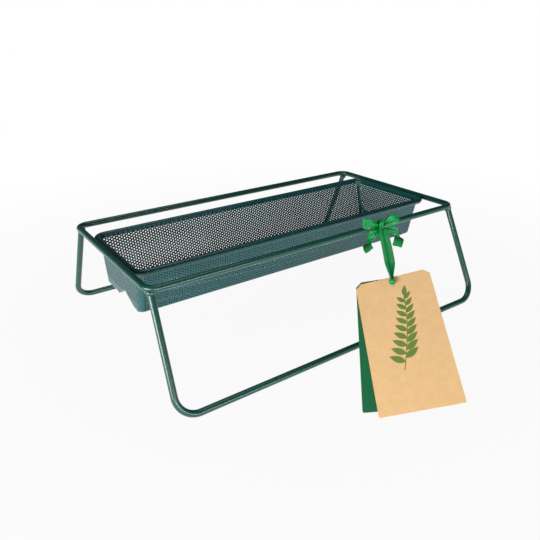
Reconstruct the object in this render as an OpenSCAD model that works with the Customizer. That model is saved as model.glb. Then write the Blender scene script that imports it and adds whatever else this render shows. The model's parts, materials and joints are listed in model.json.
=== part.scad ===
// Ground bird feeder: a welded wire frame that holds a perforated seed tray,
// with a ribbon bow and two swing cards tied on the front rail.
// Millimetres. X runs along the tray, -Y is the front, +Z is up.
// The origin is on the floor under the middle of the frame.

/* [Wire frame] */
// Diameter of the frame wire
wire_d = 6; // [4:0.5:8]
// Length of the top loop between wire centres
loop_l = 356; // [300:1:420]
// Width of the top loop between wire centres
loop_w = 178; // [160:1:220]
// Height of the top loop's wire centre above the floor
loop_z = 99; // [90:1:140]
// Bend radius of the top loop's corners at the wire centre
loop_bend_r = 10; // [8:1:16]
// Distance that each foot bar stands outside the loop
leg_splay = 41; // [20:1:60]
// Length that each foot bar has beyond the loop at either end
foot_spread = 2; // [0:0.5:6]
// Bend radius of the legs at the wire centre
leg_bend_r = 18; // [12:1:24]
// Diameter of the weld beads under the loop's corners
corner_weld_d = 8; // [7:0.2:10]

/* [Seed tray] */
// Thickness of the perforated sheet
sheet_t = 0.8; // [0.6:0.1:1.2]
// Diameter of the stiffening wire inside the tray's rim
rim_wire_d = 4.4; // [3:0.1:5]
// Drop of the rim wire's centre below the loop wire's centre
rim_drop = 1.5; // [0:0.5:2.5]
// Width of the tray's mouth between rim wire centres
tray_w = 107; // [100:1:130]
// Depth from the rim wire's centre to the floor's underside
tray_depth = 44; // [30:0.5:55]
// Lean of the front and back walls from the upright
wall_lean = 14; // [5:1:20]
// Radius of the tray's upright corners at the rim wire's centre
corner_r = 10; // [8:0.5:14]
// Radius of the tray's upright corners at the floor
floor_corner_r = 5; // [4:0.5:8]
// Bend radius between the walls and the floor, at mid-sheet
floor_bend_r = 2.5; // [1.5:0.5:5]
// Height of the stiffening ridge in the floor
ridge_rise = 11.5; // [5:0.5:14]
// Place of the ridge's crest across the tray
ridge_y = -8; // [-10:1:10]
// Run of the ridge's front slope
ridge_front = 25; // [16:1:26]
// Run of the ridge's back slope
ridge_back = 19; // [14:1:22]
// Radius of the tack welds between the tray's rim and the loop
tack_r = 2.4; // [2.2:0.1:2.8]
// Length of each tack weld
tack_l = 6; // [4:0.5:12]
// Distance of each tack weld from the middle of the end rails
tack_y = 34; // [20:1:40]

/* [Tray openings] */
// Columns of openings along the tray, a coarse form of the sheet's 2 mm holes
grid_columns = 12; // [6:1:12]
// Largest distance between two rows of openings
grid_row_pitch = 14; // [10:1:20]
// Share of each cell that is open, along and across
grid_open = 0.55; // [0.4:0.05:0.7]
// Plain margin at the ends of each stretch of sheet
grid_margin = 3; // [2:0.5:4]

/* [Ribbon bow] */
// Width of the ribbon
ribbon_w = 10; // [6:1:14]
// Thickness of the ribbon's folded solids
ribbon_t = 0.8; // [0.5:0.1:1.2]
// Place of the bow along the front rail
bow_x = 62; // [40:1:110]
// Reach of each bow loop from the knot's middle
bow_reach = 24; // [16:1:28]
// Depth of each bow loop from front to back
bow_depth = 8; // [6:0.5:10]
// Diameter of the bow's knot
knot_d = 9.5; // [7:0.5:10]
// Backward tilt of the bow's loops
bow_tilt = 24; // [0:1:40]
// Curl radius of the bow's tails
tail_r = 20; // [12:1:22]
// Sweep of each tail round its curl
tail_sweep = 90; // [50:1:95]
// Turn of the hanging ribbon between the knot and the cards
ribbon_twist = 35; // [0:1:60]

/* [Swing cards] */
// Width of both cards
card_w = 67; // [55:1:80]
// Height of the front card
card_h = 128; // [110:1:140]
// Height by which the rear card is shorter
rear_card_short = 3; // [1:0.5:8]
// Thickness of each card
card_t = 0.8; // [0.5:0.1:1.5]
// Chamfer on the cards' top corners
card_chamfer = 5; // [3:0.5:8]
// Radius of the cards' bottom corners
card_corner_r = 1.5; // [1:0.5:4]
// Diameter of the punched hole
punch_d = 4.4; // [4:0.1:6]
// Distance of the punched hole from the top edge
punch_inset = 6.5; // [5:0.5:10]
// Place of the punched hole along the feeder
punch_x = 30; // [10:1:60]
// Place of the punched hole in front of the front rail
punch_out = 57; // [40:1:65]
// Slope of the cards from the floor
card_slope = 34; // [20:1:45]
// Turn of the cards towards the left
card_turn = 71; // [30:1:80]
// Turn of the front card in its own plane
card_roll = 34; // [20:1:45]
// Turn of the rear card behind the front card
rear_card_fan = 6; // [0:1:10]

/* [Hidden] */

// Facets of wires and of small round parts
wire_fn = 48;
small_fn = 32;
// Running gap of parts that turn, and working gap between fixed parts
turn_gap = 0.3;
seat_gap = 0.05;

frame_green = [0.07, 0.36, 0.31];
tray_green = [0.27, 0.42, 0.44];
ribbon_green = [0.02, 0.60, 0.25];
kraft_brown = [0.90, 0.73, 0.50];
card_green = [0.02, 0.42, 0.22];

wire_r = wire_d / 2;
rim_wire_r = rim_wire_d / 2;
// The corner of the loop lies inside the square corner by this much, in X and in Y
bend_inset = loop_bend_r * (1 - cos(45));

// Tray: the sheet wraps the rim wire, and the rim's hem touches the end rails of the loop
hem_in_r = rim_wire_r + seat_gap;
hem_r = hem_in_r + sheet_t;
rim_z = loop_z - rim_drop;
rim_x = loop_l / 2 - sqrt(pow(wire_r + hem_r + seat_gap, 2) - pow(rim_drop, 2));
rim_y = tray_w / 2;
floor_z = rim_z - tray_depth;
end_out_x = rim_x - hem_in_r;
end_in_x = end_out_x - sheet_t;
// The walls' seams stand this far inside the tray's corners, and the ridge's flats are this long at the end walls
seam_back = 4;
ridge_flat = 1.5;
seam_x = rim_x - corner_r - seam_back;
// Middle of the wall sheet where it leaves the hem, and where it meets the floor sheet
wall_top = [rim_y - (hem_in_r + sheet_t / 2) * cos(wall_lean), rim_z + (hem_in_r + sheet_t / 2) * sin(wall_lean)];
floor_mid_z = floor_z + sheet_t / 2;
wall_foot_y = wall_top[0] - (wall_top[1] - floor_mid_z) * tan(wall_lean);
mid_half_sheet = sheet_t / 2 / cos(wall_lean);
ridge_top = floor_mid_z + ridge_rise;

// Bow: the knot sits in front of the rail, on the ribbon that wraps it
wrap_in_r = wire_r + turn_gap;
wrap_r = wrap_in_r + ribbon_t;
rail_y = -loop_w / 2;
knot_y = rail_y - wrap_r - knot_d * 0.4;
knot_z = loop_z + 1;
// The bow's loops start beside the knot as narrow folds, and rise outwards
bow_rise = 13;
bow_fold_r = 1.2;
bow_front = 1.5;
// A tail starts on the knot's underside, already bent down by an angle
tail_w = ribbon_w * 0.75;
tail_start_x = knot_d / 8;
tail_start_z = knot_z - 0.95 * knot_d / 2;
tail_dip = 14;

// Height of the hole when a card of height h, turned by roll, has its lowest corner just above the floor
function hole_height(h, roll, depth) = floor_gap + depth * cos(card_slope)
    + sin(card_slope) * (card_w / 2 * abs(sin(roll)) + (h - punch_inset) * cos(roll));

// Cards: the lower one of the two stands just above the floor
floor_gap = 0.2;
card_gap = turn_gap;
punch_y = rail_y - punch_out;
punch_z = max(hole_height(card_h, card_roll, card_t),
              hole_height(card_h - rear_card_short, card_roll - rear_card_fan, 2 * card_t + card_gap));
bead_r = 2.8;
bead_flat = 0.5;
bead_lift = bead_r - bead_flat + turn_gap;
neck_r = punch_d / 2 - 0.8;

// Small vector helpers
function unit(v) = v / norm(v);
function left_of(v) = [-v[1], v[0]];
function arc_points(c, r, a0, a1, n) = [for (i = [0:n]) c + r * [cos(a0 + (a1 - a0) * i / n), sin(a0 + (a1 - a0) * i / n)]];

// Points of an open path whose inner corners are rounded to radius r in n steps
function corner_arc(p, q, s, r, n) =
    let (a = unit(p - q), b = unit(s - q), half = acos(a * b) / 2, m = unit(a + b), c = q + m * r / sin(half),
         t = r / tan(half), pa = q + a * t, pb = q + b * t,
         a0 = atan2(pa[1] - c[1], pa[0] - c[0]), a1 = atan2(pb[1] - c[1], pb[0] - c[0]),
         sweep = a1 - a0 > 180 ? a1 - a0 - 360 : a1 - a0 < -180 ? a1 - a0 + 360 : a1 - a0)
    arc_points(c, r, a0, a0 + sweep, n);
function rounded_path(pts, r, n) = concat(
    [pts[0]],
    [for (i = [1:len(pts) - 2]) each corner_arc(pts[i - 1], pts[i], pts[i + 1], r, n)],
    [pts[len(pts) - 1]]);

// Outline of a sheet of thickness t whose middle follows an open path
function side_point(pts, i, d) =
    let (last = len(pts) - 1,
         u = unit(pts[min(i + 1, last)] - pts[min(i, last - 1)]),
         v = unit(pts[max(i, 1)] - pts[max(i - 1, 0)]),
         m = unit(left_of(u) + left_of(v)))
    pts[i] + m * d / (m * left_of(u));
function sheet_outline(pts, t) = concat(
    [for (i = [0:len(pts) - 1]) side_point(pts, i, t / 2)],
    [for (i = [len(pts) - 1:-1:0]) side_point(pts, i, -t / 2)]);

// Paths across the tray, as [y, z], from back to front
ridge_path = [[ridge_y + ridge_back, floor_mid_z], [ridge_y, ridge_top], [ridge_y - ridge_front, floor_mid_z]];
channel_corners = concat([wall_top, [wall_foot_y, floor_mid_z]], ridge_path,
                         [[-wall_foot_y, floor_mid_z], [-wall_top[0], wall_top[1]]]);
channel_path = rounded_path(channel_corners, floor_bend_r, 6);
ridge_run = rounded_path(concat(
    [[ridge_path[0][0] + ridge_flat, floor_mid_z]], ridge_path, [[ridge_path[2][0] - ridge_flat, floor_mid_z]]),
    floor_bend_r, 6);

// A straight wire between two points
module rod(a, b, d) {
    v = b - a;
    translate(a)
        rotate([0, acos(v[2] / norm(v)), atan2(v[1], v[0])])
            cylinder(h = norm(v), d = d, $fn = wire_fn);
}

// A bend of wire in the XY plane, round the origin
module bend(r, d, from, sweep) {
    rotate([0, 0, from])
        rotate_extrude(angle = sweep, $fn = 96)
            translate([r, 0])
                circle(d = d, $fn = wire_fn);
}

// A closed rectangle of wire with round corners, flat at z = 0
module wire_rectangle(l, w, r, d) {
    for (s = [-1, 1]) {
        rod([-(l / 2 - r), s * w / 2, 0], [l / 2 - r, s * w / 2, 0], d);
        rod([s * l / 2, -(w / 2 - r), 0], [s * l / 2, w / 2 - r, 0], d);
    }
    for (i = [0:3]) {
        sx = i == 0 || i == 3 ? 1 : -1;
        sy = i < 2 ? 1 : -1;
        translate([sx * (l / 2 - r), sy * (w / 2 - r), 0])
            bend(r, d, i * 90, 90);
    }
}

// Puts a front-left child at the corner on side sx and sy
module to_corner(sx, sy) {
    mirror([sx > 0 ? 1 : 0, 0, 0])
        mirror([0, sy > 0 ? 1 : 0, 0])
            children();
}

module top_loop() {
    color(frame_green)
        translate([0, 0, loop_z])
            wire_rectangle(loop_l, loop_w, loop_bend_r, wire_d);
}

// One leg is a U of wire, bent flat, which stands in a leaning plane
// Its straight wires end inside thin collars, just short of the bends; the collars touch the floor
collar_l = 1;
collar_t = 0.03;
collar_gap = 0.1;
foot_z = wire_r + collar_t;
leg_rise = loop_z - wire_r - foot_z;
leg_run = leg_splay + bend_inset;
leg_slant = sqrt(leg_rise * leg_rise + leg_run * leg_run);
leg_half = loop_l / 2 + foot_spread;
arm_lean = atan((foot_spread + bend_inset) / leg_slant);
arm_turn = 90 + arm_lean;
arm_tangent = leg_bend_r * tan(arm_turn / 2);
arm_over = 4;

leg_straight = leg_slant / cos(arm_lean) - arm_tangent + arm_over;
bar_half = leg_half - arm_tangent;

// Collar within the coat's thickness, which joins a straight wire to its bend at the origin
module collar() {
    rotate([0, 90, 0])
        cylinder(h = collar_l, d = wire_d + 2 * collar_t, center = true, $fn = wire_fn);
}

module leg_arm() {
    translate([bar_half, leg_bend_r, 0]) {
        bend(leg_bend_r, wire_d, -90, arm_turn);
        translate([0, -leg_bend_r, 0])
            collar();
        rotate([0, 0, arm_turn])
            translate([0, -leg_bend_r, 0]) {
                collar();
                translate([collar_gap, 0, 0])
                    rotate([0, 90, 0])
                        cylinder(h = leg_straight, d = wire_d, $fn = wire_fn);
            }
    }
}

module leg_shape() {
    difference() {
        translate([0, rail_y - leg_splay, foot_z])
            rotate([atan2(leg_rise, leg_run), 0, 0])
                union() {
                    rod([collar_gap - bar_half, 0, 0], [bar_half - collar_gap, 0, 0], wire_d);
                    leg_arm();
                    mirror([1, 0, 0])
                        leg_arm();
                }
        translate([-loop_l, -loop_w, loop_z - wire_r])
            cube([2 * loop_l, 2 * loop_w, loop_z]);
    }
}

module front_leg() {
    color(frame_green)
        leg_shape();
}

module back_leg() {
    color(frame_green)
        mirror([0, 1, 0])
            leg_shape();
}

// Weld bead where a leg's end meets the underside of the loop's bend
module corner_weld(sx, sy) {
    color(frame_green)
        to_corner(sx, sy)
            difference() {
                translate([-(loop_l / 2 - bend_inset), -(loop_w / 2 - bend_inset), loop_z - wire_r - 0.5])
                    sphere(d = corner_weld_d, $fn = wire_fn);
                top_loop();
                leg_shape();
            }
}

module rim_wire() {
    color(frame_green)
        translate([0, 0, rim_z])
            wire_rectangle(2 * rim_x, 2 * rim_y, corner_r, rim_wire_d);
}

// The rolled hem's section, a ring round the rim wire
module hem_section() {
    difference() {
        circle(r = hem_r, $fn = wire_fn);
        circle(r = hem_in_r, $fn = wire_fn);
    }
}

// Stands a drawing of [y, z] up and draws it along X from a to b
module along_x(a, b) {
    translate([a, 0, 0])
        rotate([90, 0, 90])
            linear_extrude(height = b - a)
                children();
}

// Grid of openings through the flat stretch of sheet from p to q, as [y, z] at mid-sheet
module grid_cut(p, q) {
    span = norm(q - p) - 2 * grid_margin;
    rows = span > grid_margin ? ceil(span / grid_row_pitch) : 0;
    cell_l = 2 * (seam_x - grid_margin) / grid_columns;
    cell_w = span / rows;
    translate([0, p[0], p[1]])
        rotate([atan2(q[1] - p[1], q[0] - p[0]), 0, 0])
            for (i = [0:grid_columns - 1], j = [0:1:rows - 1])
                translate([(i + 0.5 - grid_columns / 2) * cell_l, grid_margin + (j + 0.5) * cell_w, 0])
                    cube([grid_open * cell_l, grid_open * cell_w, 4 * sheet_t], center = true);
}

// Front wall, ridged floor and back wall, bent from one sheet
module tray_channel() {
    color(tray_green) {
        difference() {
            along_x(-seam_x, seam_x) {
                difference() {
                    polygon(sheet_outline(channel_path, sheet_t));
                    for (s = [-1, 1])
                        translate([s * rim_y, rim_z])
                            circle(r = hem_in_r, $fn = wire_fn);
                }
                for (s = [-1, 1])
                    translate([s * rim_y, rim_z])
                        hem_section();
            }
            for (i = [0:len(channel_corners) - 2])
                grid_cut(channel_corners[i], channel_corners[i + 1]);
        }
        along_x(seam_x, end_in_x)
            polygon(sheet_outline(ridge_run, sheet_t));
        along_x(-end_in_x, -seam_x)
            polygon(sheet_outline(ridge_run, sheet_t));
    }
}

// Half widths of the pan's outside at the rim and at the floor
pan_top_y = wall_top[0] + mid_half_sheet;
pan_top_z = wall_top[1];
pan_floor_y = pan_top_y - (pan_top_z - floor_z) * tan(wall_lean);
pan_top_r = corner_r - hem_in_r;

// A ring round the pan's right end at height z, with half width y, its end at x, its corners at radius r
pan_steps = 8;
function pan_ring(x, y, z, r) = concat(
    [[seam_x - 1, -y, z]],
    [for (p = arc_points([x - r, r - y], r, -90, 0, pan_steps)) [p[0], p[1], z]],
    [for (p = arc_points([x - r, y - r], r, 0, 90, pan_steps)) [p[0], p[1], z]],
    [[seam_x - 1, y, z]]);

// Closed solid through rings that have the same number of points, from the top one down
module ring_solid(rings) {
    n = len(rings[0]);
    last = len(rings) - 1;
    polyhedron(
        points = [for (ring = rings) each ring],
        faces = concat(
            [[for (i = [n - 1:-1:0]) i], [for (i = [0:n - 1]) last * n + i]],
            [for (j = [0:last - 1], i = [0:n - 1]) [j * n + i, j * n + (i + 1) % n, (j + 1) * n + (i + 1) % n]],
            [for (j = [0:last - 1], i = [0:n - 1]) [j * n + i, (j + 1) * n + (i + 1) % n, (j + 1) * n + i]]));
}

// The right end of the pan as a solid block, drawn in by t on every side and raised above its top by up
module pan_end_block(t, up) {
    rise = floor_bend_r + sheet_t / 2;
    y_floor = pan_floor_y - t / cos(wall_lean);
    ring_solid(concat(
        [pan_ring(end_out_x - t, pan_top_y - t / cos(wall_lean) + up * tan(wall_lean), pan_top_z + up, pan_top_r - t)],
        [for (a = [0:22.5:90])
            let (inset = rise * (1 - cos(a)), down = rise * sin(a))
                pan_ring(end_out_x - t - inset, y_floor + (rise - down) * tan(wall_lean) - inset,
                         floor_z + t + rise - down, floor_corner_r - t)]));
}

// Space under the ridge from a to b along X, up to t below the middle of the ridge's sheet
module ridge_space(a, b, t) {
    along_x(a, b)
        polygon(concat(
            [for (i = [0:len(ridge_run) - 1]) side_point(ridge_run, i, t)],
            [[ridge_run[len(ridge_run) - 1][0], floor_z - 1], [ridge_run[0][0], floor_z - 1]]));
}

// Upright end wall with its rounded corners, and the strip of floor at its foot
module right_end() {
    difference() {
        pan_end_block(0, 0);
        pan_end_block(sheet_t, 1);
        translate([0, -rim_y, floor_z - 1])
            cube([seam_x, 2 * rim_y, tray_depth + hem_r]);
        ridge_space(seam_x - 1, end_in_x, -sheet_t / 2);
        ridge_space(seam_x - 1, rim_x, sheet_t / 2);
        translate([0, 0, rim_z])
            wire_rectangle(2 * rim_x, 2 * rim_y, corner_r, 2 * hem_in_r);
    }
    translate([0, 0, rim_z])
        difference() {
            wire_rectangle(2 * rim_x, 2 * rim_y, corner_r, 2 * hem_r);
            wire_rectangle(2 * rim_x, 2 * rim_y, corner_r, 2 * hem_in_r);
            translate([-2 * rim_x, -2 * rim_y, -hem_r - 1])
                cube([2 * rim_x + seam_x, 4 * rim_y, 2 * hem_r + 2]);
        }
}

module right_end_panel() {
    color(tray_green)
        right_end();
}

module left_end_panel() {
    color(tray_green)
        mirror([1, 0, 0])
            right_end();
}

// Tack weld in the groove under the rim and the end rail
module tray_weld(sx, sy) {
    y0 = -tack_y - tack_l;
    y1 = -tack_y + tack_l;
    x = -(loop_l / 2 + rim_x) / 2;
    z = loop_z - rim_drop / 2 - wire_r;
    color(frame_green)
        to_corner(sx, sy)
            difference() {
                rod([x, y0 + tack_l / 2, z], [x, y1 - tack_l / 2, z], 2 * tack_r);
                rod([-loop_l / 2, y0, loop_z], [-loop_l / 2, y1, loop_z], wire_d + 2 * seat_gap);
                rod([-rim_x, y0, rim_z], [-rim_x, y1, rim_z], 2 * (hem_r + seat_gap));
            }
}

// Ribbon round the rail, behind the knot
module rail_wrap() {
    color(ribbon_green)
        translate([bow_x - ribbon_w / 2, rail_y, loop_z])
            rotate([0, 90, 0])
                difference() {
                    cylinder(r = wrap_r, h = ribbon_w, $fn = wire_fn);
                    translate([0, 0, -1])
                        cylinder(r = wrap_in_r, h = ribbon_w + 2, $fn = wire_fn);
                }
}

module bow_knot() {
    color(ribbon_green)
        difference() {
            translate([bow_x, knot_y, knot_z])
                sphere(d = knot_d, $fn = small_fn);
            translate([bow_x - knot_d, rail_y, loop_z])
                rotate([0, 90, 0])
                    cylinder(r = wrap_r, h = 2 * knot_d, $fn = wire_fn);
        }
}

// Space that the knot takes in its neighbours
module knot_space() {
    translate([bow_x, knot_y, knot_z])
        sphere(d = knot_d + seat_gap, $fn = small_fn);
}

// Section of a bow loop: a drop that starts at the knot's side
module drop(grow) {
    hull() {
        translate([bow_reach - bow_depth / 2, 0])
            circle(r = bow_depth / 2 + grow, $fn = small_fn);
        translate([knot_d / 2 + bow_front, 0])
            circle(r = bow_fold_r + grow, $fn = 16);
    }
}

module bow_loop(s) {
    color(ribbon_green)
        difference() {
            translate([bow_x, knot_y - bow_front, knot_z])
                rotate([-bow_tilt, 0, 0])
                    rotate([0, s > 0 ? -bow_rise : 180 + bow_rise, 0])
                        translate([0, 0, -ribbon_w / 2])
                            linear_extrude(height = ribbon_w)
                                difference() {
                                    drop(0);
                                    drop(-ribbon_t);
                                }
            knot_space();
        }
}

// A tail leaves the knot sideways and curls down to its cut end
module bow_tail(s) {
    color(ribbon_green)
        difference() {
            translate([bow_x + s * (tail_start_x - tail_r * sin(tail_dip)), knot_y + 0.7 * tail_w,
                       tail_start_z - tail_r * cos(tail_dip)])
                rotate([90, 0, 0])
                    rotate([0, 0, s > 0 ? 90 - tail_dip - tail_sweep : 90 + tail_dip])
                        rotate_extrude(angle = tail_sweep, $fn = 96)
                            translate([tail_r - ribbon_t, 0])
                                square([ribbon_t, tail_w]);
            knot_space();
        }
}

// Ribbon from inside the knot down to the bead in front of the punched hole, with a little sag
ribbon_top = [bow_x, knot_y - knot_d / 4, knot_z - 0.3 * knot_d];
ribbon_end = [punch_x, punch_y, punch_z]
    + bead_lift * [-sin(card_slope) * sin(card_turn), -sin(card_slope) * cos(card_turn), cos(card_slope)];
ribbon_sag = 1.5;
ribbon_route = [for (i = [0:3])
    ribbon_top + (ribbon_end - ribbon_top) * i / 3 - [0, 0, ribbon_sag * (1 - pow(2 * i / 3 - 1, 2))]];
ribbon_widths = [ribbon_w - 3, ribbon_w - 1, ribbon_w - 3, neck_r * 2];

module ribbon_slice(i) {
    translate(ribbon_route[i])
        rotate([0, 0, -ribbon_twist * i / 3])
            cube([ribbon_widths[i], ribbon_t, ribbon_t], center = true);
}

module hanging_ribbon() {
    color(ribbon_green)
        difference() {
            for (i = [0:2])
                hull() {
                    ribbon_slice(i);
                    ribbon_slice(i + 1);
                }
            knot_space();
            at_hole(card_roll)
                translate([0, 0, bead_lift])
                    sphere(r = bead_r + seat_gap, $fn = small_fn);
        }
}

// Places a child in a card's own plane, with the origin at the punched hole
module at_hole(roll) {
    translate([punch_x, punch_y, punch_z])
        rotate([0, 0, -card_turn])
            rotate([card_slope, 0, 0])
                rotate([0, 0, roll])
                    children();
}

// The ribbon's knotted end: a bead in front, a neck through both holes, a small bead behind
module card_tie() {
    stack = 2 * card_t + card_gap;
    color(ribbon_green)
        at_hole(card_roll) {
            translate([0, 0, bead_lift])
                intersection() {
                    sphere(r = bead_r, $fn = small_fn);
                    translate([-bead_r, -bead_r, bead_flat - bead_r])
                        cube([2 * bead_r, 2 * bead_r, 2 * bead_r]);
                }
            translate([0, 0, -stack - turn_gap])
                cylinder(r = neck_r, h = stack + 2 * turn_gap, $fn = small_fn);
            translate([0, 0, -stack - turn_gap - 1])
                cylinder(r = punch_d / 2 + 0.6, h = 1, $fn = small_fn);
        }
}

module card_outline(h) {
    x = card_w / 2;
    top = punch_inset;
    r = card_corner_r;
    polygon(concat(
        [[x, top - card_chamfer], [x - card_chamfer, top], [card_chamfer - x, top], [-x, top - card_chamfer]],
        arc_points([r - x, top - h + r], r, 180, 270, 6),
        arc_points([x - r, top - h + r], r, 270, 360, 6)));
}

module card(h) {
    linear_extrude(height = card_t)
        difference() {
            card_outline(h);
            circle(d = punch_d, $fn = small_fn);
        }
}

module kraft_card() {
    color(kraft_brown)
        at_hole(card_roll)
            translate([0, 0, -card_t])
                card(card_h);
}

module green_card() {
    color(card_green)
        at_hole(card_roll - rear_card_fan)
            translate([0, 0, -2 * card_t - card_gap])
                card(card_h - rear_card_short);
}

top_loop();
front_leg();
back_leg();
corner_weld(-1, -1);  // corner_weld_front_left
corner_weld(1, -1);  // corner_weld_front_right
corner_weld(-1, 1);  // corner_weld_back_left
corner_weld(1, 1);  // corner_weld_back_right
rim_wire();
tray_channel();
left_end_panel();
right_end_panel();
tray_weld(-1, -1);  // tray_weld_front_left
tray_weld(1, -1);  // tray_weld_front_right
tray_weld(-1, 1);  // tray_weld_back_left
tray_weld(1, 1);  // tray_weld_back_right
rail_wrap();
bow_knot();
bow_loop(-1);  // bow_loop_left
bow_loop(1);  // bow_loop_right
bow_tail(-1);  // bow_tail_left
bow_tail(1);  // bow_tail_right
hanging_ribbon();
card_tie();
kraft_card();
green_card();
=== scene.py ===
"""Ground bird feeder: perforated seed tray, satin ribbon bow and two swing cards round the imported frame."""

import json
import math

import bmesh
import bpy
from mathutils import Matrix, Vector


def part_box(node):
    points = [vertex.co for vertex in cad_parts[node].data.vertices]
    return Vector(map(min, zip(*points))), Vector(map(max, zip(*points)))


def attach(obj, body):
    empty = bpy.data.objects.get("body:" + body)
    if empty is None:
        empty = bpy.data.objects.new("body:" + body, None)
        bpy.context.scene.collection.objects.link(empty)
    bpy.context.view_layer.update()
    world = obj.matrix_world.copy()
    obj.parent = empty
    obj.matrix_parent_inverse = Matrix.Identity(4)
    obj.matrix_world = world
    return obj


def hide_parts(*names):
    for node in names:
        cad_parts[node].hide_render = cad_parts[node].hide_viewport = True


bl_info = {
    "name": "Ground bird feeder",
    "version": (1, 0, 0),
    "blender": (4, 5, 0),
    "location": "View3D > Sidebar > Bird feeder",
    "description": "Dresses a ground bird feeder with a perforated tray, a ribbon bow and swing cards",
    "category": "Add Mesh",
}

MM = 0.001
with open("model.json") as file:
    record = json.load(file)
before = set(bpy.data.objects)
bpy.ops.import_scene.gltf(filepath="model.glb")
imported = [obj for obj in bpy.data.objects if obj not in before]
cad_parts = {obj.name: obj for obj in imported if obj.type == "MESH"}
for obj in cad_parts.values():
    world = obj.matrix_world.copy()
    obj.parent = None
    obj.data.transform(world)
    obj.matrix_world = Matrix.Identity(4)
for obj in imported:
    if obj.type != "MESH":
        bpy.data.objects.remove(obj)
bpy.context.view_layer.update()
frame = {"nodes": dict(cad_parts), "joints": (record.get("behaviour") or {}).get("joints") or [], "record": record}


# Places taken from the frame, in metres

def middle(node):
    """Centre of a node's box."""
    low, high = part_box(node)
    return (Vector(low) + Vector(high)) / 2


def reach(node, axis):
    """Half of a node's extent along one axis."""
    low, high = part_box(node)
    return (high[axis] - low[axis]) / 2


def least(node, axis):
    """Distance from the origin to the nearer end of a node's box, along one axis."""
    low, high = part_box(node)
    return min(abs(low[axis]), abs(high[axis]))


X, Y, Z = 0, 1, 2
RIM_WIRE_R = reach("rim_wire", Z)
RIM_X = reach("rim_wire", X) - RIM_WIRE_R
RIM_Y = reach("rim_wire", Y) - RIM_WIRE_R
RIM_Z = middle("rim_wire")[Z]
FLOOR_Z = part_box("tray_channel")[0][Z]
# Half length of the channel between the two end panels
SEAM_X = least("left_end_panel", X)
WRAP = middle("rail_wrap")
# The bow's middle is a little above that of the knot's solid
BOW = middle("bow_knot") + Vector((0, 0, 2 * MM))


# Settings

def length_setting(name, description, mm):
    """A setting for a length, given in millimetres."""
    return bpy.props.FloatProperty(name=name, description=description, default=mm * MM, unit="LENGTH")


def angle_setting(name, description, degrees):
    """A setting for an angle, given in degrees."""
    return bpy.props.FloatProperty(
        name=name, description=description, default=math.radians(degrees), subtype="ANGLE")


def colour_setting(name, dressed, colour):
    """A setting for the colour of what it dresses."""
    return bpy.props.StringProperty(
        name=name, description="Colour of " + dressed + ", as sRGB hex", default=colour)


class TraySettings(bpy.types.PropertyGroup):
    """Perforated sheet of the seed tray."""
    sheet: length_setting("Sheet", "Thickness of the sheet", 0.8)
    hole: length_setting("Hole", "Diameter of the round holes", 1.6)
    pitch: length_setting("Pitch", "Distance between neighbouring holes", 2.9)
    lean: angle_setting("Wall lean", "Lean of the long walls", 14)
    bend: length_setting("Bend", "Radius of the bends in the sheet", 2.5)
    ridge_y: length_setting("Ridge place", "Place of the ridge's crest", -8)
    ridge_rise: length_setting("Ridge rise", "Height of the ridge", 11.5)
    ridge_front: length_setting("Front slope", "Run of the ridge's front slope", 25)
    ridge_back: length_setting("Back slope", "Run of the ridge's back slope", 19)
    end_margin: length_setting("End margin", "Plain strip at the foot of the end walls", 9)


class RibbonSettings(bpy.types.PropertyGroup):
    """Satin ribbon of the bow."""
    width: length_setting("Width", "Width of the ribbon", 10)
    thickness: length_setting("Thickness", "Thickness of the ribbon", 0.3)
    depth: length_setting("Loop depth", "Depth of each bow loop", 8)
    turn: angle_setting("Turn", "Turn of the bow towards the left", 30)


class PaintSettings(bpy.types.PropertyGroup):
    """Colours of the finishes."""
    enamel: colour_setting("Wire enamel", "the wire's coat", "#0A4C42")
    tray: colour_setting("Tray enamel", "the tray's coat", "#0F5558")
    # Near-black painted shade for the ribbon's reverse, standing for the shadow on its hidden side
    reverse: colour_setting("Reverse", "the painted shade on the ribbon's reverse", "#03200F")
    satin: colour_setting("Satin", "the ribbon", "#008F46")
    kraft: colour_setting("Kraft board", "the front card", "#F4C890")
    board: colour_setting("Green board", "the rear card", "#05683C")
    ink: colour_setting("Ink", "the printed sprig", "#6E8B3A")


class CameraSettings(bpy.types.PropertyGroup):
    """Camera at the photograph's viewing angle."""
    azimuth: angle_setting("Azimuth", "Turn of the view from +Y", -34.42)
    elevation: angle_setting("Elevation", "Height of the view", 24.60)
    roll: angle_setting("Roll", "Turn about the line of sight", -0.6456)
    distance: length_setting("Distance", "Distance to the target", 686.07)
    target: bpy.props.FloatVectorProperty(
        name="Target", description="Point in the middle of the view",
        default=(41.50 * MM, 66.37 * MM, 0.0), subtype="TRANSLATION")
    lens: bpy.props.FloatProperty(
        name="Lens", description="Focal length in millimetres on a 36 mm sensor", default=36.33)


def tray_settings():
    """The scene's settings for the perforated sheet."""
    return bpy.context.scene.feeder_tray


def ribbon_settings():
    """The scene's settings for the ribbon."""
    return bpy.context.scene.feeder_ribbon


def paint_settings():
    """The scene's colours."""
    return bpy.context.scene.feeder_paint


# Nodes and materials

def add(tree, kind, inputs=None, **settings):
    """Adds one node; each input is a value, or an output socket to link from."""
    made = tree.nodes.new(kind)
    for name, value in settings.items():
        setattr(made, name, value)
    for key, value in (inputs or {}).items():
        if isinstance(value, bpy.types.NodeSocket):
            tree.links.new(value, made.inputs[key])
        else:
            made.inputs[key].default_value = value
    return made


def linear(hex_colour):
    """Linear RGBA of an sRGB hex colour."""
    parts = [int(hex_colour[i:i + 2], 16) / 255 for i in (1, 3, 5)]
    return [c / 12.92 if c <= 0.04045 else ((c + 0.055) / 1.055) ** 2.4 for c in parts] + [1.0]


def shade(hex_colour, factor):
    """Linear RGBA of a colour made lighter or darker."""
    return [min(1.0, c * factor) for c in linear(hex_colour)[:3]] + [1.0]


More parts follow.
